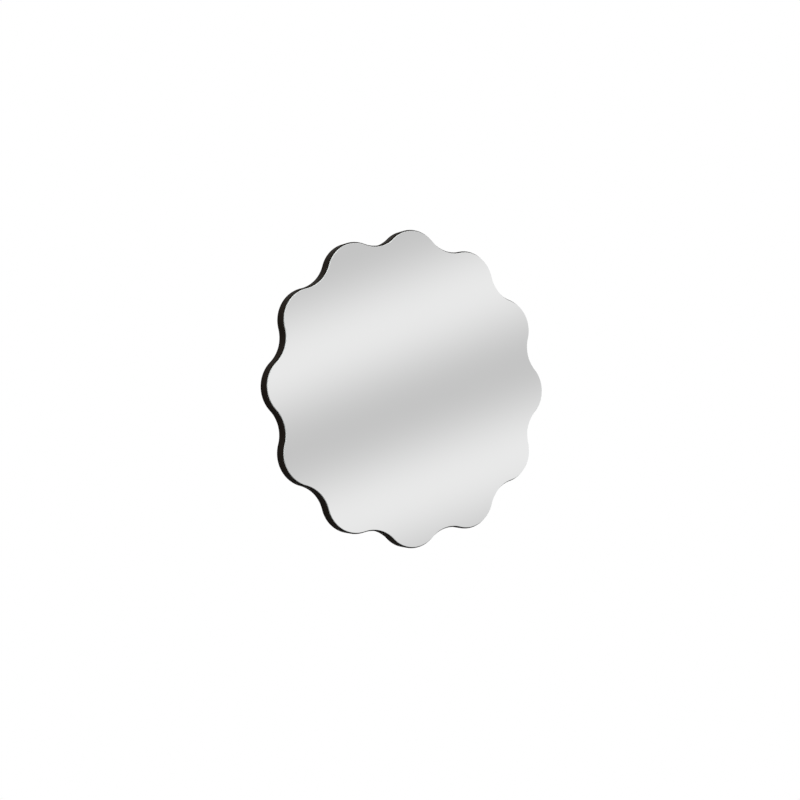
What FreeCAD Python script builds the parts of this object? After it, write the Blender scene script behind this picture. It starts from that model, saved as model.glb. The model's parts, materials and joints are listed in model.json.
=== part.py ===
import FreeCAD, Part
import math
import os

# A round wall mirror with a scalloped, flower-like edge, in millimetres.
# The glass faces -Y, +Z is up, and the origin is the mirror's centre on the wall plane.
# Left and right are as seen by someone who looks into the glass.

# Scalloped outline of the board
PETAL_COUNT = 12
OUTER_DIAMETER = 500.0
SCALLOP_DEPTH = 20.5

# Glass pane and its silvered coat
GLASS_THICKNESS = 3.0
GLASS_INSET = 2.0
GLASS_ARRIS = 0.3
COAT_THICKNESS = 0.1

# Bed of tape strips, with mastic beads between them, that bonds the pane to the board
BED_THICKNESS = 0.8
BED_SIDE_MARGIN = 58.5
BED_END_MARGIN = 26.0
TAPE_COUNT = 5
TAPE_WIDTH = 19.0
MASTIC_WIDTH = 12.0

# Lacquered backing board
BOARD_THICKNESS = 18.0
BOARD_EASING = 0.4

# Hanger straps, each one strip folded round the ring's bar
HANGER_SPACING = 260.0
HANGER_HEIGHT = 120.0
STRAP_THICKNESS = 1.2
STRAP_WIDTH = 14.0
STRAP_END_RADIUS = 5.0
STRAP_END_MARGIN = 6.0
STRAP_FOLD_ANGLE = 35.0

# Rings that swing in the straps
RING_WIRE = 3.0
RING_RUNNING_CLEARANCE = 0.08
RING_SIDE_PLAY = 0.6
RING_CORNER_RADIUS = 3.0
RING_LIMB = 3.4
RING_REST_GAP = 0.4

# Pan-head screws with a cross recess
SCREW_SHANK = 3.5
SCREW_FRONT_COVER = 6.4
SCREW_TIP = 3.0
SCREW_HEAD = 7.0
SCREW_HEAD_HEIGHT = 2.2
SCREW_HEAD_RIM = 0.9
SCREW_PITCH = 12.0
SCREW_HOLE_CLEARANCE = 0.35
SCREW_PILOT_CLEARANCE = 0.05
SCREW_TO_RING = 3.5
RECESS_WIDTH = 0.9
RECESS_LENGTH = 4.0
RECESS_DEPTH = 1.3

# Rubber bumpers that rest on the wall
WALL_GAP = 1.0
BUMPER_FACE = 14.0
BUMPER_TAPER = 2.0
BUMPER_RIM = 1.5
BUMPER_EDGE_DISTANCE = 30.0
BUMPER_ANGLE = 60.0

QUARTER_TURN = math.pi / 2
FLAT = 0.001
SIDES = {"left": -1, "right": 1}
BACKWARD = FreeCAD.Vector(0, 1, 0)
FORWARD = FreeCAD.Vector(0, -1, 0)

# Petal and valley arcs share one radius and touch, so their centres lie two radii apart.
# arc_radius is the positive root of that condition.
half_pitch = math.pi / PETAL_COUNT
outer_radius = OUTER_DIAMETER / 2
valley_radius = outer_radius - SCALLOP_DEPTH
pitch_cosine = math.cos(half_pitch)
square_term = 2 - 2 * pitch_cosine
linear_term = (1 + pitch_cosine) * SCALLOP_DEPTH
tip_to_valley_squared = outer_radius**2 + valley_radius**2 - 2 * outer_radius * valley_radius * pitch_cosine
arc_radius = (math.sqrt(linear_term**2 + square_term * tip_to_valley_squared) - linear_term) / square_term

# Heights of the hangers above the board's back
wire_radius = RING_WIRE / 2
loop_inner = wire_radius + RING_RUNNING_CLEARANCE
loop_outer = loop_inner + STRAP_THICKNESS
strap_top = 2 * STRAP_THICKNESS

# Half widths of a ring and its reach from the bar, on the wire's centre line
bar_half = STRAP_WIDTH / 2 + RING_SIDE_PLAY
ring_half = bar_half + RING_CORNER_RADIUS
bow_start = RING_CORNER_RADIUS + RING_LIMB
ring_reach = bow_start + ring_half

# Lean of a hanging ring, which lies just clear of the strap's long edges
reach_at_strap_edge = bow_start + math.sqrt(ring_half**2 - (STRAP_WIDTH / 2) ** 2)
rest_lift = STRAP_THICKNESS - RING_RUNNING_CLEARANCE + RING_REST_GAP
rest_lean = math.degrees(math.asin(rest_lift / reach_at_strap_edge))

# Drops of a hanger's screws below the ring's bar, and the lengths that follow from them
first_screw = ring_reach + wire_radius + SCREW_TO_RING + SCREW_HEAD / 2
screw_drops = [first_screw, first_screw + SCREW_PITCH]
strap_length = screw_drops[-1] + STRAP_END_MARGIN
screw_bite = BOARD_THICKNESS - SCREW_FRONT_COVER
screw_length = strap_top + screw_bite

# Depths, from the wall plane forward to the glass
bumper_height = 2 * loop_outer + WALL_GAP
board_back = -bumper_height
board_front = board_back - BOARD_THICKNESS
coat_back = board_front - BED_THICKNESS
glass_back = coat_back - COAT_THICKNESS
glass_front = glass_back - GLASS_THICKNESS

# Circle inside the pane's valleys, which the bed keeps within, and the step between bed lines
bed_reach = valley_radius - GLASS_INSET
outermost_tape = bed_reach - BED_SIDE_MARGIN - TAPE_WIDTH / 2
bed_step = outermost_tape / (TAPE_COUNT - 1)


def segment(start, end):
    return Part.LineSegment(start, end).toShape()


def arc(start, middle, end):
    return Part.Arc(start, middle, end).toShape()


def polar(radius, angle, y):
    """Point at a radius and angle about the mirror's axis, at depth y."""
    return FreeCAD.Vector(radius * math.cos(angle), y, radius * math.sin(angle))


def join_point(petal, valley, inset, y):
    """Point where a petal's arc runs into the neighbouring valley's arc."""
    petal_centre = polar(outer_radius - arc_radius, petal, y)
    valley_centre = polar(valley_radius + arc_radius, valley, y)
    share = (arc_radius - inset) / (2 * arc_radius)
    return petal_centre + (valley_centre - petal_centre) * share


def scallop_plate(inset, front, back):
    """Plate with the scalloped outline, drawn in by inset, between two depths."""
    outline = []
    for index in range(PETAL_COUNT):
        petal = QUARTER_TURN + 2 * index * half_pitch
        before = petal - half_pitch
        after = petal + half_pitch
        start = join_point(petal, before, inset, front)
        end = join_point(petal, after, inset, front)
        next_start = join_point(after + half_pitch, after, inset, front)
        outline.append(arc(start, polar(outer_radius - inset, petal, front), end))
        outline.append(arc(end, polar(valley_radius - inset, after, front), next_start))
    return Part.Face(Part.Wire(outline)).extrude(BACKWARD * (back - front))


def rim_edges(plate):
    """Edges that lie flat in a plate's front and back faces."""
    return [edge for edge in plate.Edges if edge.BoundBox.YLength < FLAT]


def mirror_glass():
    pane = scallop_plate(GLASS_INSET, glass_front, glass_back)
    return pane.makeChamfer(GLASS_ARRIS, rim_edges(pane))


def silver_backing():
    return scallop_plate(GLASS_INSET + GLASS_ARRIS, glass_back, coat_back)


def backing_board():
    board = scallop_plate(0, board_front, board_back)
    board = board.makeFillet(BOARD_EASING, rim_edges(board))
    pilot_radius = SCREW_SHANK / 2 + SCREW_PILOT_CLEARANCE
    pilot_depth = screw_bite + SCREW_PILOT_CLEARANCE
    for x, z in screw_places():
        mouth = FreeCAD.Vector(x, board_back, z)
        board = board.cut(Part.makeCylinder(pilot_radius, pilot_depth, mouth, FORWARD))
    return board


def bed_half_length(x, width):
    """Half the length that a bed line at x has inside the pane's valleys."""
    return math.sqrt(bed_reach**2 - (abs(x) + width / 2) ** 2) - BED_END_MARGIN


def tape_strip(x):
    half = bed_half_length(x, TAPE_WIDTH)
    corner = FreeCAD.Vector(x - TAPE_WIDTH / 2, coat_back, -half)
    return Part.makeBox(TAPE_WIDTH, BED_THICKNESS, 2 * half, corner)


def mastic_bead(x):
    """Bead pressed flat between pane and board, with round ends."""
    radius = MASTIC_WIDTH / 2
    straight = bed_half_length(x, MASTIC_WIDTH) - radius

    def at(across, up):
        return FreeCAD.Vector(x + across, coat_back, up)

    outline = [
        arc(at(-radius, -straight), at(0, -straight - radius), at(radius, -straight)),
        segment(at(radius, -straight), at(radius, straight)),
        arc(at(radius, straight), at(0, straight + radius), at(-radius, straight)),
        segment(at(-radius, straight), at(-radius, -straight)),
    ]
    return Part.Face(Part.Wire(outline)).extrude(BACKWARD * BED_THICKNESS)


def hanger_strap(side):
    """Strip folded round the ring's bar, with both layers flat on the board below it."""
    fold = math.radians(STRAP_FOLD_ANGLE)
    x = side * HANGER_SPACING / 2

    def at(drop, height):
        return FreeCAD.Vector(x - STRAP_WIDTH / 2, board_back + height, HANGER_HEIGHT - drop)

    def on_loop(radius, angle):
        return at(-radius * math.cos(angle), loop_outer + radius * math.sin(angle))

    def landing(radius, height):
        """Where the slanting layer, tangent to the loop at radius, comes down to height."""
        slant = (loop_outer + radius * math.cos(fold) - height) / math.sin(fold)
        return at(radius * math.sin(fold) + slant * math.cos(fold), height)

    outer_tangent = on_loop(loop_outer, QUARTER_TURN + fold)
    outer_landing = landing(loop_outer, strap_top)
    outer = [
        segment(at(0, 0), at(strap_length, 0)),
        segment(at(strap_length, 0), at(strap_length, strap_top)),
        segment(at(strap_length, strap_top), outer_landing),
        segment(outer_landing, outer_tangent),
        arc(outer_tangent, on_loop(loop_outer, fold / 2), at(0, 0)),
    ]
    inner_tangent = on_loop(loop_inner, QUARTER_TURN + fold)
    inner_landing = landing(loop_inner, STRAP_THICKNESS)
    inner = [
        arc(at(0, STRAP_THICKNESS), on_loop(loop_inner, fold / 2), inner_tangent),
        segment(inner_tangent, inner_landing),
        segment(inner_landing, at(0, STRAP_THICKNESS)),
    ]
    section = Part.Face([Part.Wire(outer), Part.Wire(inner)])
    strap = section.extrude(FreeCAD.Vector(STRAP_WIDTH, 0, 0))
    lowest = HANGER_HEIGHT - strap_length
    end_edges = [edge for edge in strap.Edges if edge.BoundBox.ZMax < lowest + FLAT]
    corners = [edge for edge in end_edges if edge.BoundBox.XLength < FLAT]
    strap = strap.makeFillet(STRAP_END_RADIUS, corners)
    hole_radius = SCREW_SHANK / 2 + SCREW_HOLE_CLEARANCE
    for drop in screw_drops:
        mouth = FreeCAD.Vector(x, board_back, HANGER_HEIGHT - drop)
        strap = strap.cut(Part.makeCylinder(hole_radius, strap_top, mouth, BACKWARD))
    return strap


def hanger_ring(side):
    """D-shaped wire ring that hangs from its straight bar and leans on the strap."""
    def at(across, drop):
        return FreeCAD.Vector(across, 0, -drop)

    def corner(side, start, end):
        slack = RING_CORNER_RADIUS * (1 - math.sqrt(0.5))
        return arc(start, at(side * (ring_half - slack), slack), end)

    right_bar = at(bar_half, 0)
    left_bar = at(-bar_half, 0)
    right_shoulder = at(ring_half, RING_CORNER_RADIUS)
    left_shoulder = at(-ring_half, RING_CORNER_RADIUS)
    right_bow = at(ring_half, bow_start)
    left_bow = at(-ring_half, bow_start)
    path = [
        segment(left_bar, right_bar),
        corner(1, right_bar, right_shoulder),
        segment(right_shoulder, right_bow),
        arc(right_bow, at(0, ring_reach), left_bow),
        segment(left_bow, left_shoulder),
        corner(-1, left_shoulder, left_bar),
    ]
    wire_section = Part.Wire(Part.makeCircle(wire_radius, left_bar, FreeCAD.Vector(1, 0, 0)))
    ring = Part.Wire(path).makePipeShell([wire_section], True, False)
    ring.rotate(at(0, 0), FreeCAD.Vector(1, 0, 0), rest_lean)
    ring.translate(FreeCAD.Vector(side * HANGER_SPACING / 2, board_back + loop_outer, HANGER_HEIGHT))
    return ring


def screw_places():
    """Across and up positions of all hanger screws."""
    columns = [side * HANGER_SPACING / 2 for side in SIDES.values()]
    return [(x, HANGER_HEIGHT - drop) for x in columns for drop in screw_drops]


def hanger_screw(x, z):
    """Screw seated on the strap, its head a rim with a spherical crown."""
    def at(radius, height):
        return FreeCAD.Vector(x + radius, board_back + strap_top + height, z)

    head = SCREW_HEAD / 2
    shank = SCREW_SHANK / 2
    crown_rise = SCREW_HEAD_HEIGHT - SCREW_HEAD_RIM
    crown_radius = (head**2 + crown_rise**2) / (2 * crown_rise)
    half_crown = math.asin(head / crown_radius) / 2
    crown_drop = crown_radius * (1 - math.cos(half_crown))
    crown_middle = at(crown_radius * math.sin(half_crown), SCREW_HEAD_HEIGHT - crown_drop)
    tip = at(0, -screw_length)
    shoulder = at(shank, SCREW_TIP - screw_length)
    top = at(0, SCREW_HEAD_HEIGHT)
    profile = [
        segment(tip, shoulder),
        segment(shoulder, at(shank, 0)),
        segment(at(shank, 0), at(head, 0)),
        segment(at(head, 0), at(head, SCREW_HEAD_RIM)),
        arc(at(head, SCREW_HEAD_RIM), crown_middle, top),
        segment(top, tip),
    ]
    screw = Part.Face(Part.Wire(profile)).revolve(at(0, 0), BACKWARD, 360)
    floor = board_back + strap_top + SCREW_HEAD_HEIGHT - RECESS_DEPTH
    for width, height in ((RECESS_LENGTH, RECESS_WIDTH), (RECESS_WIDTH, RECESS_LENGTH)):
        corner = FreeCAD.Vector(x - width / 2, floor, z - height / 2)
        screw = screw.cut(Part.makeBox(width, RECESS_DEPTH, height, corner))
    return screw


def bumper(across, up):
    """Tapered rubber bumper with a rounded rim, its flat face on the wall plane."""
    distance = valley_radius - BUMPER_EDGE_DISTANCE
    angle = math.radians(BUMPER_ANGLE)
    base = FreeCAD.Vector(across * distance * math.cos(angle), board_back, up * distance * math.sin(angle))
    face_radius = BUMPER_FACE / 2
    cone = Part.makeCone(face_radius + BUMPER_TAPER, face_radius, bumper_height, base, BACKWARD)
    rim = [edge for edge in rim_edges(cone) if edge.BoundBox.YMin > -FLAT]
    return cone.makeFillet(BUMPER_RIM, rim)


nodes = {
    "mirror_glass": mirror_glass(),
    "silver_backing": silver_backing(),
    "backing_board": backing_board(),
    "hanger_screws": Part.makeCompound([hanger_screw(x, z) for x, z in screw_places()]),
}
for index in range(TAPE_COUNT):
    nodes[f"tape_strip_{index + 1}"] = tape_strip(2 * index * bed_step - outermost_tape)
for index in range(TAPE_COUNT - 1):
    nodes[f"mastic_bead_{index + 1}"] = mastic_bead((2 * index + 1) * bed_step - outermost_tape)
for name, side in SIDES.items():
    nodes[f"hanger_strap_{name}"] = hanger_strap(side)
    nodes[f"hanger_ring_{name}"] = hanger_ring(side)
    nodes[f"bumper_upper_{name}"] = bumper(side, 1)
    nodes[f"bumper_lower_{name}"] = bumper(side, -1)

os.makedirs("parts", exist_ok=True)
for name, shape in nodes.items():
    shape.exportStep(f"parts/{name}.step")
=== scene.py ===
import json
import math

import bmesh
import bpy
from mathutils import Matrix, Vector


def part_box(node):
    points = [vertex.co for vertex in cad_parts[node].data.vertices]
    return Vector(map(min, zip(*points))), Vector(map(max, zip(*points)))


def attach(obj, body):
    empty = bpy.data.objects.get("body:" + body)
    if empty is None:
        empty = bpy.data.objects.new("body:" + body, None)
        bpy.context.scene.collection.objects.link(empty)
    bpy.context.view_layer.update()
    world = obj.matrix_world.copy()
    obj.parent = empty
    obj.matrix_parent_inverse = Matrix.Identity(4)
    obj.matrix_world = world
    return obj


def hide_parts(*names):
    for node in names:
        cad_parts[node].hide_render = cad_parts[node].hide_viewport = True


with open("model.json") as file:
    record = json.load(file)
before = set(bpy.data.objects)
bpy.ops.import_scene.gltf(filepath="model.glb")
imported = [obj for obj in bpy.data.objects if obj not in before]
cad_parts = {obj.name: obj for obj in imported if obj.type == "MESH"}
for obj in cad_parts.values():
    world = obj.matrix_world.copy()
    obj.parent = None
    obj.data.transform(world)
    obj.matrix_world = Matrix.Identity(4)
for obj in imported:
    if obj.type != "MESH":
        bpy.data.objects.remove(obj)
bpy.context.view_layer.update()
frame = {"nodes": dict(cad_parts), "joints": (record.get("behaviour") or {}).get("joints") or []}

# Lengths are in metres. The glass faces -Y, +Z is up and the wall plane is Y = 0.
MM = 0.001
QUARTER_TURN = math.pi / 2
FULL_TURN = 2 * math.pi
SIDES = ("left", "right")
PANEL = "mirror_panel"

# View of the photograph: its angles, the distance to its target on the glass, the target's place
# across and up, and the lens and the sensor in millimetres
VIEW_AZIMUTH = math.radians(-29.69)
VIEW_ELEVATION = math.radians(-1.23)
VIEW_DISTANCE = 1.852
VIEW_ACROSS = -0.02487
VIEW_UP = -0.01819
LENS = 53.55
SENSOR = 36.0

# Studio: pale soft bands all round, stacked along one axis, with a white ground for the camera
BAND_AXIS = (0.3205, 0.1604, -0.9336)
BAND_PERIOD = math.radians(8.03)
BAND_SHIFT = math.radians(0.397)
BAND_DARK = 0.6
BAND_BRIGHT = 0.88

# Shares of the bands' light that come from behind and from below the mirror, and the Y and Z of
# the directions between which the light fades to them
REAR_SHARE = 0.07
REAR_FADE = (-0.1, 0.6)
BELOW_SHARE = 0.04
BELOW_FADE = (-0.45, 0.05)

# Floor, which takes a shadow in its middle and is pure white at its rim
FLOOR_DROP = 1.9
FLOOR_RADIUS = 1.8
FLOOR_SIDES = 96
FLOOR_SHADED_RADIUS = 0.5
FLOOR_SHADED_WHITENESS = 0.75
FLOOR_REFLECTED_SHARE = 0.5

# Lamps, each with its place, its diameter and its power in watts
LAMPS = {
    "key": ((-1.7, -1.3, 1.9), 1.4, 43.0),
    "fill": ((1.9, -1.4, 1.5), 1.4, 10.0),
    "rear": ((-0.2, 1.6, 2.3), 1.4, 16.0),
    "back": ((1.3, 2.4, 0.0), 2.2, 25.0),
}

# Range that most values of a soft noise lie in
NOISE_RANGE = (0.3, 0.7)

# Colour sockets of a Mix node by number, because their names repeat for each type of data
MIX_COLOURS = (6, 7)
MIX_RESULT = 2

# Edges that turn further than this are shaded crisp
SHARP_ANGLE = math.radians(32)

# How far a round cutter runs past the face that it opens
CUT_MARGIN = 1.0 * MM

# Scalloped outline
PETAL_COUNT = 12
SCALLOP_DEPTH = 20.5 * MM
ARC_STEPS = 24

# Edge of the pane
ARRIS = 0.3 * MM
ARRIS_SOFTENING = 0.06 * MM

# Board, with a narrow flat strip on each side of its eased edges
BOARD_EASING = 0.4 * MM
EASING_STEPS = 5
FLAT_MARGIN = 0.15 * MM

# Bed: how full the sides of its pieces are, from one face to the other
PRESSED_BULGES = (0.0, 0.7, 1.0, 0.7, 0.0)

# Tape strips
TAPE_BULGE = 0.25 * MM
TAPE_CUT_SLANT = 1.2 * MM

# Mastic beads, with the lengths in which the ripple and its slow drift turn by one radian
BEAD_BULGE = 0.5 * MM
BEAD_RIPPLE = 0.7 * MM
BEAD_RIPPLE_STRETCH = 9.0 * MM
BEAD_DRIFT_STRETCH = 23.0 * MM
BEAD_SIDE_STEPS = 60
BEAD_END_STEPS = 16

# Hanger straps
STRAP_THICKNESS = 1.2 * MM
STRAP_SEAM = 0.03 * MM
STRAP_HALF = (STRAP_THICKNESS - STRAP_SEAM) / 2
STRAP_BEVEL = 0.14 * MM
STRAP_END_RADIUS = 5.0 * MM
STRAP_END_STEPS = 12
STRAP_LOOP_STEPS = 36
STRAP_FOLD = math.radians(35.0)
STRAP_BEND_RADIUS = 1.2 * MM
STRAP_BEND_STEPS = 6
STRAP_HOLE_RADIUS = 2.1 * MM
STRAP_HOLE_SIDES = 48

# Rings
WIRE_RADIUS = 1.5 * MM
WIRE_SIDES = 24
RING_CORNER_RADIUS = 3.0 * MM
RING_LIMB = 3.4 * MM
RING_BAR_STEPS = 10
RING_CORNER_STEPS = 10
RING_BOW_STEPS = 48

# Screws, with the drop of each below the ring's bar. The thread's flank is a share of its pitch.
SCREW_DROPS = (25.5 * MM, 37.5 * MM)
SCREW_LENGTH = 14.0 * MM
SCREW_TIP = 3.0 * MM
SCREW_END_GAP = 0.1 * MM
SCREW_SIDES = 40
HEAD_RADIUS = 3.5 * MM
HEAD_HEIGHT = 2.2 * MM
HEAD_RIM = 0.9 * MM
HEAD_ROUNDING = 0.25 * MM
HEAD_ROUNDING_STEPS = 4
HEAD_CROWN_STEPS = 12
THREAD_CREST = 1.75 * MM
THREAD_ROOT = 1.2 * MM
THREAD_PITCH = 1.3 * MM
THREAD_FLANK = 0.36
THREAD_RUNOUT = 2.6 * MM
THREAD_STEPS = 8

# Cross recess: reach and half width of a wing at three depths, and each screw's turn in degrees
RECESS_DEPTH = 1.3 * MM
RECESS_BOTTOM = (0.75 * MM, 0.3 * MM)
RECESS_SHOULDER = (1.6 * MM, 0.42 * MM)
RECESS_SHOULDER_RISE = 0.45 * MM
RECESS_MOUTH = (2.1 * MM, 0.52 * MM)
RECESS_OVERRUN = 0.4 * MM
RECESS_TURNS = {"left": (12.0, 64.0), "right": (38.0, 81.0)}

# Blind holes that the screws bite into
PILOT_CLEARANCE = 0.05 * MM
PILOT_RADIUS = THREAD_CREST + PILOT_CLEARANCE
PILOT_DEPTH = SCREW_LENGTH - 2 * STRAP_THICKNESS + PILOT_CLEARANCE
PILOT_SIDES = 32

# Bumpers
BUMPER_TAPER = 2.0 * MM
BUMPER_GLUE = 0.4 * MM
BUMPER_GLUE_INSET = 0.35 * MM
BUMPER_LIP = 0.15 * MM
BUMPER_WAIST = 0.25 * MM
BUMPER_RIM = 1.5 * MM
BUMPER_DIMPLE_RADIUS = 3.6 * MM
BUMPER_DIMPLE_DEPTH = 0.7 * MM
BUMPER_STEPS = 8
BUMPER_SIDES = 64


# Node helpers


def node(tree, kind, inputs=None, **settings):
    """New node. Each input is a socket to link or a value to set."""
    made = tree.nodes.new(kind)
    for name, value in settings.items():
        setattr(made, name, value)
    for key, value in (inputs or {}).items():
        if isinstance(value, bpy.types.NodeSocket):
            tree.links.new(value, made.inputs[key])
        else:
            made.inputs[key].default_value = value
    return made


def math_node(tree, operation, first, second=0.0):
    return node(tree, "ShaderNodeMath", {0: first, 1: second}, operation=operation).outputs[0]


def noise(tree, place, size, detail=3.0, stretch=(1.0, 1.0, 1.0)):
    """Soft noise whose features are about size across, and longer where stretch is over 1."""
    scale = tuple(1.0 / (size * share) for share in stretch)
    scaled = node(tree, "ShaderNodeVectorMath", {0: place, 1: scale}, operation="MULTIPLY")
    inputs = {"Vector": scaled.outputs[0], "Scale": 1.0, "Detail": detail}
    return node(tree, "ShaderNodeTexNoise", inputs).outputs[0]


def cells(tree, place, size):
    """Distance from the middle of each cell of a foam, 0 to about 1."""
    inputs = {"Vector": place, "Scale": 1.0 / size}
    return node(tree, "ShaderNodeTexVoronoi", inputs).outputs["Distance"]


def span(tree, value, low, high, to_low=0.0, to_high=1.0):
    """Maps low..high to to_low..to_high and holds it there."""
    inputs = {"Value": value, "From Min": low, "From Max": high, "To Min": to_low, "To Max": to_high}
    return node(tree, "ShaderNodeMapRange", inputs).outputs[0]


def blend(tree, share, first, second):
    """Colour between two colours, each a socket or a value."""
    mixed = node(tree, "ShaderNodeMix", {0: share}, data_type="RGBA")
    for slot, colour in zip(MIX_COLOURS, (first, second)):
        if isinstance(colour, bpy.types.NodeSocket):
            tree.links.new(colour, mixed.inputs[slot])
        else:
            mixed.inputs[slot].default_value = (*colour, 1.0)
    return mixed.outputs[MIX_RESULT]


def bump(tree, height, depth):
    inputs = {"Height": height, "Distance": depth, "Strength": 1.0}
    return node(tree, "ShaderNodeBump", inputs).outputs[0]


def surface(name, constants=None):
    """New material with its tree, its shader and the piece's own coordinates."""
    material = bpy.data.materials.new(name)
    material.use_nodes = True
    tree = material.node_tree
    shader = tree.nodes["Principled BSDF"]
    for socket, value in (constants or {}).items():
        shader.inputs[socket].default_value = value
    place = node(tree, "ShaderNodeTexCoord").outputs["Object"]
    return material, tree, shader, place


def connect(tree, shader, **sockets):
    """Links colour, roughness and normal to the shader."""
    names = {"colour": "Base Color", "roughness": "Roughness", "normal": "Normal"}
    for key, socket in sockets.items():
        tree.links.new(socket, shader.inputs[names[key]])


# Materials


def mirror_face():
    """Silver behind clear glass, with the faintest haze of handling."""
    material, tree, shader, place = surface("silvered_face", {"Metallic": 1.0})
    haze = noise(tree, place, 90 * MM)
    colour = blend(tree, haze, (0.915, 0.917, 0.916), (0.925, 0.926, 0.925))
    roughness = span(tree, haze, *NOISE_RANGE, 0.0, 0.012)
    connect(tree, shader, colour=colour, roughness=roughness)
    return material


def polished_arris():
    """Bright narrow bevel with small nicks from the belt."""
    material, tree, shader, place = surface("polished_arris")
    nicks = noise(tree, place, 0.7 * MM)
    colour = blend(tree, nicks, (0.7, 0.74, 0.725), (0.84, 0.86, 0.85))
    roughness = span(tree, nicks, 0.35, 0.7, 0.04, 0.16)
    connect(tree, shader, colour=colour, roughness=roughness, normal=bump(tree, nicks, 0.02 * MM))
    return material


def ground_edge():
    """Finely ground glass edge: pale, a little green, with grinding lines that run along it."""
    material, tree, shader, place = surface("ground_glass_edge", {"Specular IOR Level": 0.6})
    lines = noise(tree, place, 0.12 * MM, 2.0, (60.0, 1.0, 60.0))
    cloud = noise(tree, place, 14 * MM)
    colour = blend(tree, lines, (0.79, 0.83, 0.812), (0.88, 0.905, 0.892))
    colour = blend(tree, span(tree, cloud, 0.35, 0.75, 0.0, 0.35), colour, (0.75, 0.82, 0.79))
    roughness = span(tree, lines, *NOISE_RANGE, 0.32, 0.5)
    connect(tree, shader, colour=colour, roughness=roughness, normal=bump(tree, lines, 0.015 * MM))
    return material


def backing_paint():
    """Grey protective paint over the silver."""
    material, tree, shader, place = surface("mirror_backing_paint")
    mottle = noise(tree, place, 5 * MM)
    colour = blend(tree, mottle, (0.2, 0.215, 0.22), (0.29, 0.3, 0.3))
    roughness = span(tree, mottle, *NOISE_RANGE, 0.4, 0.6)
    connect(tree, shader, colour=colour, roughness=roughness, normal=bump(tree, mottle, 0.05 * MM))
    return material


def lacquer():
    """Brown-black satin lacquer with orange peel, lighter on rubbed edges and thinner on the back."""
    material, tree, shader, place = surface("black_lacquer", {"Specular IOR Level": 0.06})
    cloud = noise(tree, place, 45 * MM)
    colour = blend(tree, cloud, (0.0124, 0.0095, 0.0072), (0.0215, 0.0163, 0.0125))
    normal = node(tree, "ShaderNodeNewGeometry").outputs["Normal"]
    rearward = node(tree, "ShaderNodeSeparateXYZ", {0: normal}).outputs[1]
    flatness = math_node(tree, "ABSOLUTE", rearward)
    slope = math_node(tree, "MULTIPLY", flatness, math_node(tree, "SUBTRACT", 1.0, flatness))
    rubbed = span(tree, noise(tree, place, 7 * MM), 0.5, 0.75, 0.0, 1.6)
    wear = math_node(tree, "MULTIPLY", slope, rubbed)
    colour = blend(tree, wear, colour, (0.045, 0.036, 0.028))
    fibres = span(tree, noise(tree, place, 0.9 * MM, 5.0), *NOISE_RANGE)
    thin_coat = blend(tree, fibres, (0.018, 0.0155, 0.0135), (0.034, 0.03, 0.026))
    colour = blend(tree, span(tree, rearward, 0.9, 0.98), colour, thin_coat)
    peel = noise(tree, place, 1.1 * MM, 2.0)
    speck = noise(tree, place, 0.25 * MM, 2.0)
    roughness = span(tree, noise(tree, place, 18 * MM), *NOISE_RANGE, 0.5, 0.64)
    height = math_node(tree, "ADD", peel, math_node(tree, "MULTIPLY", speck, 0.25))
    connect(tree, shader, colour=colour, roughness=roughness, normal=bump(tree, height, 0.03 * MM))
    return material


def foam():
    """Closed-cell foam of the mirror tape."""
    material, tree, shader, place = surface("foam_tape", {"Specular IOR Level": 0.25})
    pores = cells(tree, place, 0.45 * MM)
    colour = blend(tree, pores, (0.66, 0.66, 0.64), (0.8, 0.8, 0.78))
    roughness = span(tree, pores, 0.0, 0.8, 0.95, 0.75)
    connect(tree, shader, colour=colour, roughness=roughness, normal=bump(tree, pores, 0.12 * MM))
    return material


def mastic():
    """Skinned-over adhesive, smooth with slow ripples."""
    material, tree, shader, place = surface("mirror_mastic")
    ripple = noise(tree, place, 6 * MM)
    colour = blend(tree, ripple, (0.5, 0.46, 0.385), (0.66, 0.62, 0.54))
    roughness = span(tree, ripple, *NOISE_RANGE, 0.45, 0.7)
    connect(tree, shader, colour=colour, roughness=roughness, normal=bump(tree, ripple, 0.3 * MM))
    return material


def zinc(name, dull, bright, grain, roughest):
    """Zinc-plated steel: soft spangle, fine lines along the grain and a few duller patches."""
    material, tree, shader, place = surface(name, {"Metallic": 1.0})
    patches = noise(tree, place, 4 * MM)
    lines = noise(tree, place, 0.16 * MM, 2.0, grain)
    colour = blend(tree, patches, dull, bright)
    broad_shine = math_node(tree, "MULTIPLY", patches, 0.6)
    fine_shine = math_node(tree, "MULTIPLY", lines, 0.4)
    shine = math_node(tree, "ADD", broad_shine, fine_shine)
    smoothest = roughest - 0.16
    roughness = span(tree, shine, *NOISE_RANGE, roughest, smoothest)
    connect(tree, shader, colour=colour, roughness=roughness, normal=bump(tree, lines, 0.012 * MM))
    return material


def rubber():
    """Matte black rubber with a fine moulded grain and a little dust."""
    material, tree, shader, place = surface("bumper_rubber", {"Specular IOR Level": 0.3})
    grain = noise(tree, place, 0.35 * MM)
    dust = span(tree, noise(tree, place, 1.2 * MM, 5.0), 0.5, 0.8)
    colour = blend(tree, dust, (0.017, 0.017, 0.017), (0.04, 0.039, 0.037))
    roughness = span(tree, grain, *NOISE_RANGE, 0.6, 0.8)
    connect(tree, shader, colour=colour, roughness=roughness, normal=bump(tree, grain, 0.04 * MM))
    return material


def glue():
    """Milky adhesive disc under a bumper."""
    material, tree, shader, place = surface("bumper_glue")
    cloud = noise(tree, place, 1.5 * MM)
    colour = blend(tree, cloud, (0.42, 0.41, 0.37), (0.58, 0.57, 0.53))
    roughness = span(tree, cloud, *NOISE_RANGE, 0.3, 0.5)
    connect(tree, shader, colour=colour, roughness=roughness)
    return material


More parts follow.
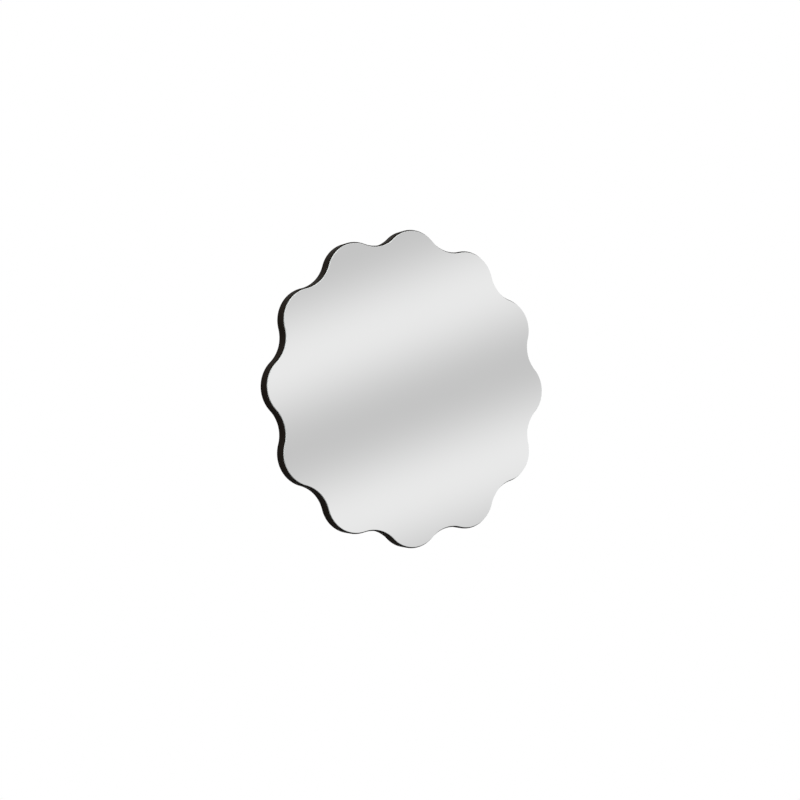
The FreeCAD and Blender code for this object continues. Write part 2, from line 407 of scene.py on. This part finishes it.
def pale_floor():
    """Pale floor that keeps the mirror's shadow and runs out into the white ground at its rim."""
    material, tree, shader, place = surface("pale_floor", {"Specular IOR Level": 0.1})
    cloud = noise(tree, place, 0.4)
    colour = blend(tree, cloud, (0.44, 0.44, 0.44), (0.5, 0.5, 0.5))
    roughness = span(tree, cloud, *NOISE_RANGE, 0.7, 0.85)
    connect(tree, shader, colour=colour, roughness=roughness)
    radius = node(tree, "ShaderNodeVectorMath", {0: place}, operation="LENGTH").outputs["Value"]
    path = node(tree, "ShaderNodeLightPath")
    reflected = math_node(tree, "MULTIPLY", path.outputs["Is Glossy Ray"], FLOOR_REFLECTED_SHARE)
    shown = math_node(tree, "MAXIMUM", path.outputs["Is Camera Ray"], reflected)
    whiteness = span(tree, radius, FLOOR_SHADED_RADIUS, FLOOR_RADIUS, FLOOR_SHADED_WHITENESS, 1.0)
    share = math_node(tree, "MULTIPLY", shown, whiteness)
    white = node(tree, "ShaderNodeEmission").outputs[0]
    mixed = node(tree, "ShaderNodeMixShader", {0: share, 1: shader.outputs[0], 2: white})
    tree.links.new(mixed.outputs[0], tree.nodes["Material Output"].inputs["Surface"])
    return material


# Mesh helpers


def shade(data):
    """Smooth curved faces with crisp edges between flat ones."""
    data.shade_smooth()
    data.set_sharp_from_angle(angle=SHARP_ANGLE)


def piece(name, mesh, materials, nodes, body=PANEL):
    """Shown piece from a bmesh, which stands for CAD nodes and rides on a body."""
    data = bpy.data.meshes.new(name)
    bmesh.ops.recalc_face_normals(mesh, faces=mesh.faces)
    mesh.to_mesh(data)
    mesh.free()
    made = bpy.data.objects.new(name, data)
    bpy.context.scene.collection.objects.link(made)
    for material in materials:
        data.materials.append(material)
    shade(data)
    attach(made, body)
    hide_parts(*nodes)
    return made


def band(mesh, near, far, material=0):
    """Faces between two closed rings of as many vertices."""
    for index in range(len(near)):
        following = (index + 1) % len(near)
        face = mesh.faces.new((near[index], near[following], far[following], far[index]))
        face.material_index = material


def cap(mesh, ring, material):
    mesh.faces.new(ring).material_index = material


def loft(rings, materials=None):
    """Capped solid through rings of points. materials has one entry for each cap and band in turn."""
    materials = materials or [0] * (len(rings) + 1)
    mesh = bmesh.new()
    loops = [[mesh.verts.new(point) for point in ring] for ring in rings]
    cap(mesh, loops[0], materials[0])
    for near, far, material in zip(loops, loops[1:], materials[1:]):
        band(mesh, near, far, material)
    cap(mesh, loops[-1], materials[-1])
    return mesh


def circle(centre, radius, depth, sides):
    """Ring about an axis along Y."""
    points = []
    for index in range(sides):
        angle = FULL_TURN * index / sides
        x = centre.x + radius * math.cos(angle)
        points.append(Vector((x, depth, centre.z + radius * math.sin(angle))))
    return points


def drill(centre, radius, depths, sides):
    """Round cutter along Y between two depths."""
    return loft([circle(centre, radius, depth, sides) for depth in depths])


def cut_away(target, cutters):
    """Cuts meshes out of a piece for good."""
    for cutter in cutters:
        data = bpy.data.meshes.new("cutter")
        bmesh.ops.recalc_face_normals(cutter, faces=cutter.faces)
        cutter.to_mesh(data)
        cutter.free()
        tool = bpy.data.objects.new("cutter", data)
        bpy.context.scene.collection.objects.link(tool)
        modifier = target.modifiers.new("cut", "BOOLEAN")
        modifier.object = tool
        modifier.solver = "EXACT"
        graph = bpy.context.evaluated_depsgraph_get()
        result = bpy.data.meshes.new_from_object(target.evaluated_get(graph))
        target.modifiers.clear()
        target.data = result
        bpy.data.objects.remove(tool)
    shade(target.data)


# Scalloped outline, whose petal and valley arcs share one radius. Arcs that touch have their centres
# two radii apart, which gives a quadratic for the radius.

board_low, board_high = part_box("backing_board")
glass_low, glass_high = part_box("mirror_glass")
half_pitch = math.pi / PETAL_COUNT
outer_radius = board_high.z
valley_radius = outer_radius - SCALLOP_DEPTH
pitch_cosine = math.cos(half_pitch)
square_term = 2 - 2 * pitch_cosine
linear_term = (1 + pitch_cosine) * SCALLOP_DEPTH
tip_to_valley_squared = outer_radius**2 + valley_radius**2 - 2 * outer_radius * valley_radius * pitch_cosine
arc_radius = (math.sqrt(linear_term**2 + square_term * tip_to_valley_squared) - linear_term) / square_term
petal_centre_radius = outer_radius - arc_radius
valley_centre_radius = valley_radius + arc_radius
petal_swing = math.atan2(
    valley_centre_radius * math.sin(half_pitch),
    valley_centre_radius * pitch_cosine - petal_centre_radius,
)
valley_swing = petal_swing - half_pitch


def polar(radius, angle, depth):
    return Vector((radius * math.cos(angle), depth, radius * math.sin(angle)))


def scallop(inset, depth):
    """Ring of points on the outline, drawn in by inset."""
    points = []
    for index in range(PETAL_COUNT):
        petal = QUARTER_TURN + 2 * index * half_pitch
        valley = petal + half_pitch
        for step in range(ARC_STEPS):
            angle = petal + petal_swing * (2 * step / ARC_STEPS - 1)
            offset = polar(arc_radius - inset, angle, depth)
            points.append(polar(petal_centre_radius, petal, 0) + offset)
        for step in range(ARC_STEPS):
            angle = valley + math.pi + valley_swing * (1 - 2 * step / ARC_STEPS)
            offset = polar(arc_radius + inset, angle, depth)
            points.append(polar(valley_centre_radius, valley, 0) + offset)
    return points


# Pane


def silvered_pane():
    """Pane with a mirror face, narrow polished arrises and a ground edge between them."""
    inset = board_high.z - glass_high.z
    front = glass_low.y
    back = glass_high.y
    soft = ARRIS_SOFTENING
    rings = [
        scallop(inset + ARRIS, front),
        scallop(inset + soft, front + ARRIS - soft),
        scallop(inset, front + ARRIS + soft),
        scallop(inset, back - ARRIS - soft),
        scallop(inset + soft, back - ARRIS + soft),
        scallop(inset + ARRIS, back),
    ]
    face, arris, edge, paint = range(4)
    mesh = loft(rings, (face, arris, arris, edge, arris, arris, paint))
    materials = [mirror_face(), polished_arris(), ground_edge(), backing_paint()]
    piece("silvered_pane", mesh, materials, ["mirror_glass"])


# Board


def eased_rim(face, inward):
    """Rings of the outline from a flat face round its eased edge to the side."""
    profile = [(BOARD_EASING + FLAT_MARGIN, 0.0)]
    for step in range(EASING_STEPS + 1):
        turn = QUARTER_TURN * step / EASING_STEPS
        profile.append((BOARD_EASING * (1 - math.sin(turn)), BOARD_EASING * (1 - math.cos(turn))))
    profile.append((0.0, BOARD_EASING + FLAT_MARGIN))
    return [scallop(inset, face + inward * sink) for inset, sink in profile]


def lacquered_board(screw_centres):
    """Board with finely eased edges and the blind holes that its screws bite into."""
    rings = eased_rim(board_low.y, 1) + eased_rim(board_high.y, -1)[::-1]
    board = piece("lacquered_board", loft(rings), [lacquer()], ["backing_board"])
    depths = (board_high.y - PILOT_DEPTH, board_high.y + CUT_MARGIN)
    cut_away(board, [drill(centre, PILOT_RADIUS, depths, PILOT_SIDES) for centre in screw_centres])


# Bed, whose pieces are pressed between pane and board


def pressed(low, high, ring, bulge):
    """Solid through rings from one face of the bed to the other, fullest half way."""
    rings = []
    for index, share in enumerate(PRESSED_BULGES):
        depth = low.y + (high.y - low.y) * index / (len(PRESSED_BULGES) - 1)
        rings.append(ring(bulge * share, depth))
    return loft(rings)


def tape_strip(name, order, material):
    """Foam strip with bulging sides and ends cut by hand, a little out of square."""
    low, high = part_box(name)
    middle = (low + high) / 2
    half_width = (high.x - low.x) / 2 - TAPE_BULGE
    half_length = (high.z - low.z) / 2 - TAPE_BULGE
    lean = math.sin(order)

    def ring(swell, depth):
        points = []
        for across, up in ((-1, -1), (1, -1), (1, 1), (-1, 1)):
            cut = TAPE_CUT_SLANT * (1 + lean * across * up) / 2
            x = middle.x + across * (half_width + swell)
            points.append(Vector((x, depth, middle.z + up * (half_length - cut + swell))))
        return points

    piece(f"{name}_pressed", pressed(low, high, ring, TAPE_BULGE), [material], [name])


def bead_spine(straight):
    """Way round a bead as (height on its middle line, outward angle)."""
    spine = []
    for side, turn in ((1, 0.0), (-1, math.pi)):
        for step in range(BEAD_SIDE_STEPS):
            spine.append((side * straight * (2 * step / BEAD_SIDE_STEPS - 1), turn))
        for step in range(BEAD_END_STEPS):
            spine.append((side * straight, turn + math.pi * step / BEAD_END_STEPS))
    return spine


def mastic_bead(name, material):
    """Bead pressed flat, with a rippled outline and bulging sides."""
    low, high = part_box(name)
    middle = (low + high) / 2
    radius = (high.x - low.x) / 2 - BEAD_RIPPLE - BEAD_BULGE
    straight = (high.z - low.z) / 2 - BEAD_RIPPLE - BEAD_BULGE - radius

    def ring(swell, depth):
        points = []
        for up, angle in bead_spine(straight):
            along = middle.x + up
            drift = math.cos(along / BEAD_DRIFT_STRETCH)
            ripple = BEAD_RIPPLE * math.sin(along / BEAD_RIPPLE_STRETCH + angle) * drift
            reach = radius + swell + ripple
            x = middle.x + reach * math.cos(angle)
            points.append(Vector((x, depth, middle.z + up + reach * math.sin(angle))))
        return points

    piece(f"{name}_pressed", pressed(low, high, ring, BEAD_BULGE), [material], [name])


# Hangers


def strap_path(length, loop_outer):
    """Centre line of the strip as (drop, height, narrowing): lower layer, loop, slant, upper layer.

    Narrowing is what each side of the strip loses at its rounded ends.
    """
    loop = loop_outer - STRAP_HALF
    upper = 2 * STRAP_THICKNESS - STRAP_HALF
    slant = (loop_outer + loop * math.cos(STRAP_FOLD) - upper) / math.sin(STRAP_FOLD)
    landing = loop * math.sin(STRAP_FOLD) + slant * math.cos(STRAP_FOLD)
    tangent = STRAP_BEND_RADIUS * math.tan(STRAP_FOLD / 2)
    taper = []
    for step in range(STRAP_END_STEPS + 1):
        angle = QUARTER_TURN * step / STRAP_END_STEPS
        drop = length - STRAP_END_RADIUS * (1 - math.cos(angle))
        taper.append((drop, STRAP_END_RADIUS * (1 - math.sin(angle))))
    path = [(drop, STRAP_HALF, narrowing) for drop, narrowing in taper]
    for step in range(STRAP_LOOP_STEPS + 1):
        angle = -QUARTER_TURN + (math.pi + STRAP_FOLD) * step / STRAP_LOOP_STEPS
        path.append((-loop * math.cos(angle), loop_outer + loop * math.sin(angle), 0.0))
    for step in range(STRAP_BEND_STEPS + 1):
        turn = STRAP_FOLD * (1 - step / STRAP_BEND_STEPS)
        drop = landing + tangent - STRAP_BEND_RADIUS * math.sin(turn)
        path.append((drop, upper + STRAP_BEND_RADIUS * (1 - math.cos(turn)), 0.0))
    path += [(drop, upper, narrowing) for drop, narrowing in reversed(taper)]
    return path


def strap_section(path, index, half_width, shrink):
    """Section across the strip at a point of its path as (across, drop, height), with eased corners."""
    before = Vector(path[max(index - 1, 0)][:2])
    after = Vector(path[min(index + 1, len(path) - 1)][:2])
    along = (after - before).normalized()
    normal = Vector((-along.y, along.x))
    drop, height, narrowing = path[index]
    reach = half_width - narrowing - shrink
    half = STRAP_HALF - shrink
    corners = []
    for across, through in ((1, 1), (-1, 1), (-1, -1), (1, -1)):
        side = (across * reach, through * (half - STRAP_BEVEL))
        flat = (across * (reach - STRAP_BEVEL), through * half)
        corners += [side, flat] if across == through else [flat, side]
    points = []
    for across, offset in corners:
        place = Vector((drop, height)) + normal * offset
        points.append((across, place.x, place.y))
    return points


def hanger_strap(name, material):
    """Strip of sheet steel folded round the ring's bar, with a seam between its layers and eased edges."""
    low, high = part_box(name)
    middle = (low.x + high.x) / 2
    half_width = (high.x - low.x) / 2
    loop_outer = (high.y - board_high.y) / 2
    bar = high.z - loop_outer
    path = strap_path(bar - low.z, loop_outer)

    def ring(index, shrink):
        points = []
        for across, drop, height in strap_section(path, index, half_width, shrink):
            points.append(Vector((middle + across, board_high.y + height, bar - drop)))
        return points

    last = len(path) - 1
    rings = [ring(index, 0.0) for index in range(len(path))]
    rings = [ring(0, STRAP_BEVEL)] + rings + [ring(last, STRAP_BEVEL)]
    strap = piece(f"{name}_folded", loft(rings), [material], [name])
    depths = (low.y - CUT_MARGIN, high.y + CUT_MARGIN)
    holes = [Vector((middle, 0, bar - drop)) for drop in SCREW_DROPS]
    cut_away(strap, [drill(hole, STRAP_HOLE_RADIUS, depths, STRAP_HOLE_SIDES) for hole in holes])


def ring_path(half_width):
    """Closed centre line of a D-ring as (across, drop), from the middle of the bar."""
    bar_half = half_width - RING_CORNER_RADIUS
    bow_start = RING_CORNER_RADIUS + RING_LIMB
    right = [(bar_half * step / RING_BAR_STEPS, 0.0) for step in range(RING_BAR_STEPS)]
    for step in range(RING_CORNER_STEPS + 1):
        angle = QUARTER_TURN * step / RING_CORNER_STEPS
        across = bar_half + RING_CORNER_RADIUS * math.sin(angle)
        right.append((across, RING_CORNER_RADIUS * (1 - math.cos(angle))))
    bow = []
    for step in range(RING_BOW_STEPS + 1):
        angle = math.pi * step / RING_BOW_STEPS
        bow.append((half_width * math.cos(angle), bow_start + half_width * math.sin(angle)))
    left = [(-across, drop) for across, drop in reversed(right[1:])]
    return right + bow + left


def hanger_ring(name, joint, material):
    """Drawn-wire D-ring that hangs from its bar and leans out over the strap."""
    low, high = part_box(name)
    pivot = Vector(joint["pos_m"])
    path = ring_path((high.x - low.x) / 2 - WIRE_RADIUS)
    reach = max(drop for across, drop in path)
    lean = math.asin((high.y - WIRE_RADIUS - pivot.y) / reach)
    down = Vector((0, math.sin(lean), -math.cos(lean)))
    across_axis = Vector((1, 0, 0))
    out_axis = across_axis.cross(down)
    mesh = bmesh.new()
    loops = []
    for index, (across, drop) in enumerate(path):
        before = Vector(path[index - 1])
        after = Vector(path[(index + 1) % len(path)])
        along = (after - before).normalized()
        normal = across_axis * along.y - down * along.x
        centre = pivot + across_axis * across + down * drop
        loop = []
        for side in range(WIRE_SIDES):
            angle = FULL_TURN * side / WIRE_SIDES
            outward = normal * math.cos(angle) + out_axis * math.sin(angle)
            loop.append(mesh.verts.new(centre + outward * WIRE_RADIUS))
        loops.append(loop)
    for index, loop in enumerate(loops):
        band(mesh, loops[index - 1], loop)
    piece(f"{name}_wire", mesh, [material], [name], joint["child"])


def thread_ring(centre, seat, height):
    """Ring of the shank at a height under the head, which is below zero, with the helical thread."""
    taper = min(1.0, (height + SCREW_LENGTH) / SCREW_TIP)
    fade = min(1.0, -height / THREAD_RUNOUT)
    points = []
    for step in range(SCREW_SIDES):
        turn = step / SCREW_SIDES
        phase = (height / THREAD_PITCH - turn) % 1.0
        ridge = max(0.0, 1 - abs(phase - 0.5) / THREAD_FLANK)
        radius = (THREAD_ROOT + (THREAD_CREST - THREAD_ROOT) * ridge * fade) * taper
        angle = FULL_TURN * turn
        x = centre.x + radius * math.cos(angle)
        points.append(Vector((x, seat + height, centre.z + radius * math.sin(angle))))
    return points


def head_profile():
    """Pan head from its seat to its crown as (radius, height), with eased rims."""
    rise = HEAD_HEIGHT - HEAD_RIM
    crown_radius = (HEAD_RADIUS**2 + rise**2) / (2 * rise)
    profile = [(THREAD_ROOT, 0.0), (HEAD_RADIUS - HEAD_ROUNDING, 0.0)]
    for step in range(1, HEAD_ROUNDING_STEPS + 1):
        angle = QUARTER_TURN * step / HEAD_ROUNDING_STEPS
        radius = HEAD_RADIUS - HEAD_ROUNDING * (1 - math.sin(angle))
        profile.append((radius, HEAD_ROUNDING * (1 - math.cos(angle))))
    profile.append((HEAD_RADIUS, HEAD_RIM - HEAD_ROUNDING))
    crown = [HEAD_RADIUS - HEAD_ROUNDING / 3]
    crown += [HEAD_RADIUS * (1 - step / HEAD_CROWN_STEPS) for step in range(1, HEAD_CROWN_STEPS)]
    for radius in crown:
        profile.append((radius, HEAD_HEIGHT - crown_radius + math.sqrt(crown_radius**2 - radius**2)))
    return profile


def cross_ring(centre, wing, depth, turn):
    """Outline of a cross about an axis along Y, from the reach and half width of its wings."""
    reach, half = wing
    points = []
    for index in range(4):
        angle = turn + index * QUARTER_TURN
        for across, up in ((reach, -half), (reach, half), (half, half)):
            x = across * math.cos(angle) - up * math.sin(angle)
            z = across * math.sin(angle) + up * math.cos(angle)
            points.append(Vector((centre.x + x, depth, centre.z + z)))
    return points


def cross_cutter(centre, top, turn):
    """Tapered cross recess: four wings that narrow towards a blunt bottom."""
    bottom = top - RECESS_DEPTH
    rings = [
        cross_ring(centre, RECESS_BOTTOM, bottom, turn),
        cross_ring(centre, RECESS_SHOULDER, bottom + RECESS_SHOULDER_RISE, turn),
        cross_ring(centre, RECESS_MOUTH, top + RECESS_OVERRUN, turn),
    ]
    return loft(rings)


def hanger_screw(name, centre, seat, turn, material):
    """Pan-head wood screw with a helical thread and a cross recess."""
    rings = []
    height = SCREW_END_GAP - SCREW_LENGTH
    while height < -SCREW_END_GAP:
        rings.append(thread_ring(centre, seat, height))
        height += THREAD_PITCH / THREAD_STEPS
    rings += [circle(centre, radius, seat + rise, SCREW_SIDES) for radius, rise in head_profile()]
    screw = piece(name, loft(rings), [material], ["hanger_screws"])
    cut_away(screw, [cross_cutter(centre, seat + HEAD_HEIGHT, turn)])


# Bumpers


def bumper_profile(base, height):
    """Bumper from the board to the wall as (radius, height): glue disc, waisted side, round rim, dimple."""
    glue_radius = base - BUMPER_GLUE_INSET
    profile = [(glue_radius, 0.0), (glue_radius, BUMPER_GLUE), (base - BUMPER_LIP, BUMPER_GLUE)]
    side_start = BUMPER_GLUE + BUMPER_LIP
    side_end = height - BUMPER_RIM
    for step in range(BUMPER_STEPS + 1):
        share = step / BUMPER_STEPS
        up = side_start + (side_end - side_start) * share
        cone = base - BUMPER_TAPER * up / height
        profile.append((cone - BUMPER_WAIST * math.sin(math.pi * share), up))
    rim_radius = profile[-1][0]
    for step in range(1, BUMPER_STEPS + 1):
        angle = QUARTER_TURN * step / BUMPER_STEPS
        radius = rim_radius - BUMPER_RIM * (1 - math.cos(angle))
        profile.append((radius, side_end + BUMPER_RIM * math.sin(angle)))
    for step in range(BUMPER_STEPS):
        share = step / BUMPER_STEPS
        sink = BUMPER_DIMPLE_DEPTH * math.sin(QUARTER_TURN * share) ** 2
        profile.append((BUMPER_DIMPLE_RADIUS * (1 - share), height - sink))
    return profile


def bumper(name, materials):
    """Moulded rubber bumper on its adhesive disc."""
    low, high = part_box(name)
    centre = (low + high) / 2
    profile = bumper_profile((high.x - low.x) / 2, high.y - low.y)
    rings = [circle(centre, radius, low.y + height, BUMPER_SIDES) for radius, height in profile]
    rubber_index, glue_index = range(2)
    parts = [glue_index, glue_index] + [rubber_index] * (len(rings) - 1)
    piece(f"{name}_moulded", loft(rings, parts), materials, [name])


# Stage


def studio_world():
    """White for the camera, and for other rays a pale studio of soft bands, dimmer behind.

    Matte surfaces also get less light from below, where reflections show the studio as it is.
    """
    world = bpy.data.worlds.new("studio")
    bpy.context.scene.world = world
    world.use_nodes = True
    tree = world.node_tree
    direction = node(tree, "ShaderNodeTexCoord").outputs["Generated"]
    along = node(tree, "ShaderNodeVectorMath", {0: direction, 1: BAND_AXIS}, operation="DOT_PRODUCT")
    angle = math_node(tree, "ARCSINE", along.outputs["Value"])
    phase = math_node(tree, "SUBTRACT", angle, BAND_SHIFT)
    wave = math_node(tree, "COSINE", math_node(tree, "MULTIPLY", phase, FULL_TURN / BAND_PERIOD))
    bands = span(tree, wave, -1.0, 1.0, BAND_BRIGHT, BAND_DARK)
    compass = node(tree, "ShaderNodeSeparateXYZ", {0: direction})
    rear = span(tree, compass.outputs[1], *REAR_FADE, 1.0, REAR_SHARE)
    path = node(tree, "ShaderNodeLightPath")
    below = span(tree, compass.outputs[2], *BELOW_FADE, BELOW_SHARE, 1.0)
    below = math_node(tree, "MAXIMUM", below, path.outputs["Is Glossy Ray"])
    light = math_node(tree, "MULTIPLY", bands, math_node(tree, "MULTIPLY", rear, below))
    shown = math_node(tree, "MAXIMUM", light, path.outputs["Is Camera Ray"])
    tree.links.new(shown, tree.nodes["Background"].inputs["Color"])


def floor():
    """Pale round floor well below the mirror, as in a room where it hangs on a wall."""
    mesh = bmesh.new()
    bmesh.ops.create_circle(mesh, cap_ends=True, radius=FLOOR_RADIUS, segments=FLOOR_SIDES)
    data = bpy.data.meshes.new("floor")
    mesh.to_mesh(data)
    mesh.free()
    data.materials.append(pale_floor())
    made = bpy.data.objects.new("floor", data)
    made.location.z = -FLOOR_DROP
    bpy.context.scene.collection.objects.link(made)


def lamp(name, place, size, power):
    """Soft round lamp aimed at the mirror. Lamps in front of the glass don't show in it."""
    data = bpy.data.lights.new(name, "AREA")
    data.shape = "DISK"
    data.size = size
    data.energy = power
    made = bpy.data.objects.new(name, data)
    made.location = place
    made.rotation_euler = Vector(place).to_track_quat("Z", "Y").to_euler()
    made.visible_glossy = place[1] > 0
    bpy.context.scene.collection.objects.link(made)


def camera():
    """Camera at the photograph's viewing angle and distance."""
    data = bpy.data.cameras.new("photo_camera")
    data.lens = LENS
    data.sensor_width = SENSOR
    made = bpy.data.objects.new("photo_camera", data)
    back = Vector((
        math.sin(VIEW_AZIMUTH) * math.cos(VIEW_ELEVATION),
        -math.cos(VIEW_AZIMUTH) * math.cos(VIEW_ELEVATION),
        math.sin(VIEW_ELEVATION),
    ))
    target = Vector((VIEW_ACROSS, glass_low.y, VIEW_UP))
    made.location = target + back * VIEW_DISTANCE
    made.rotation_euler = back.to_track_quat("Z", "Y").to_euler()
    bpy.context.scene.collection.objects.link(made)
    bpy.context.scene.camera = made


# Scene

silvered_pane()

coat = frame["nodes"]["silver_backing"]
coat.data.materials.clear()
coat.data.materials.append(backing_paint())

tape_material = foam()
mastic_material = mastic()
strips = sorted(name for name in frame["nodes"] if name.startswith("tape_strip"))
for order, name in enumerate(strips, 1):
    tape_strip(name, order, tape_material)
for name in frame["nodes"]:
    if name.startswith("mastic_bead"):
        mastic_bead(name, mastic_material)

strap_material = zinc(
    "zinc_strap",
    dull=(0.4, 0.4, 0.385),
    bright=(0.55, 0.555, 0.55),
    grain=(1.0, 1.0, 40.0),
    roughest=0.42,
)
wire_material = zinc(
    "zinc_wire",
    dull=(0.52, 0.52, 0.5),
    bright=(0.7, 0.7, 0.69),
    grain=(3.0, 3.0, 3.0),
    roughest=0.36,
)
screw_material = zinc(
    "zinc_screw",
    dull=(0.56, 0.53, 0.44),
    bright=(0.7, 0.68, 0.6),
    grain=(2.0, 2.0, 2.0),
    roughest=0.38,
)
bumper_materials = [rubber(), glue()]
joints = {joint["child"]: joint for joint in frame["joints"]}
screw_seat = board_high.y + 2 * STRAP_THICKNESS
screw_centres = []
for side in SIDES:
    hanger_strap(f"hanger_strap_{side}", strap_material)
    joint = joints[f"{side}_ring"]
    hanger_ring(f"hanger_ring_{side}", joint, wire_material)
    pivot = Vector(joint["pos_m"])
    for order, (drop, turn) in enumerate(zip(SCREW_DROPS, RECESS_TURNS[side]), 1):
        centre = Vector((pivot.x, 0, pivot.z - drop))
        screw_centres.append(centre)
        name = f"hanger_screw_{side}_{order}"
        hanger_screw(name, centre, screw_seat, math.radians(turn), screw_material)
    for level in ("upper", "lower"):
        bumper(f"bumper_{level}_{side}", bumper_materials)

lacquered_board(screw_centres)

studio_world()
floor()
for name, (place, size, power) in LAMPS.items():
    lamp(name, place, size, power)
camera()
bpy.context.scene.view_settings.view_transform = "Standard"
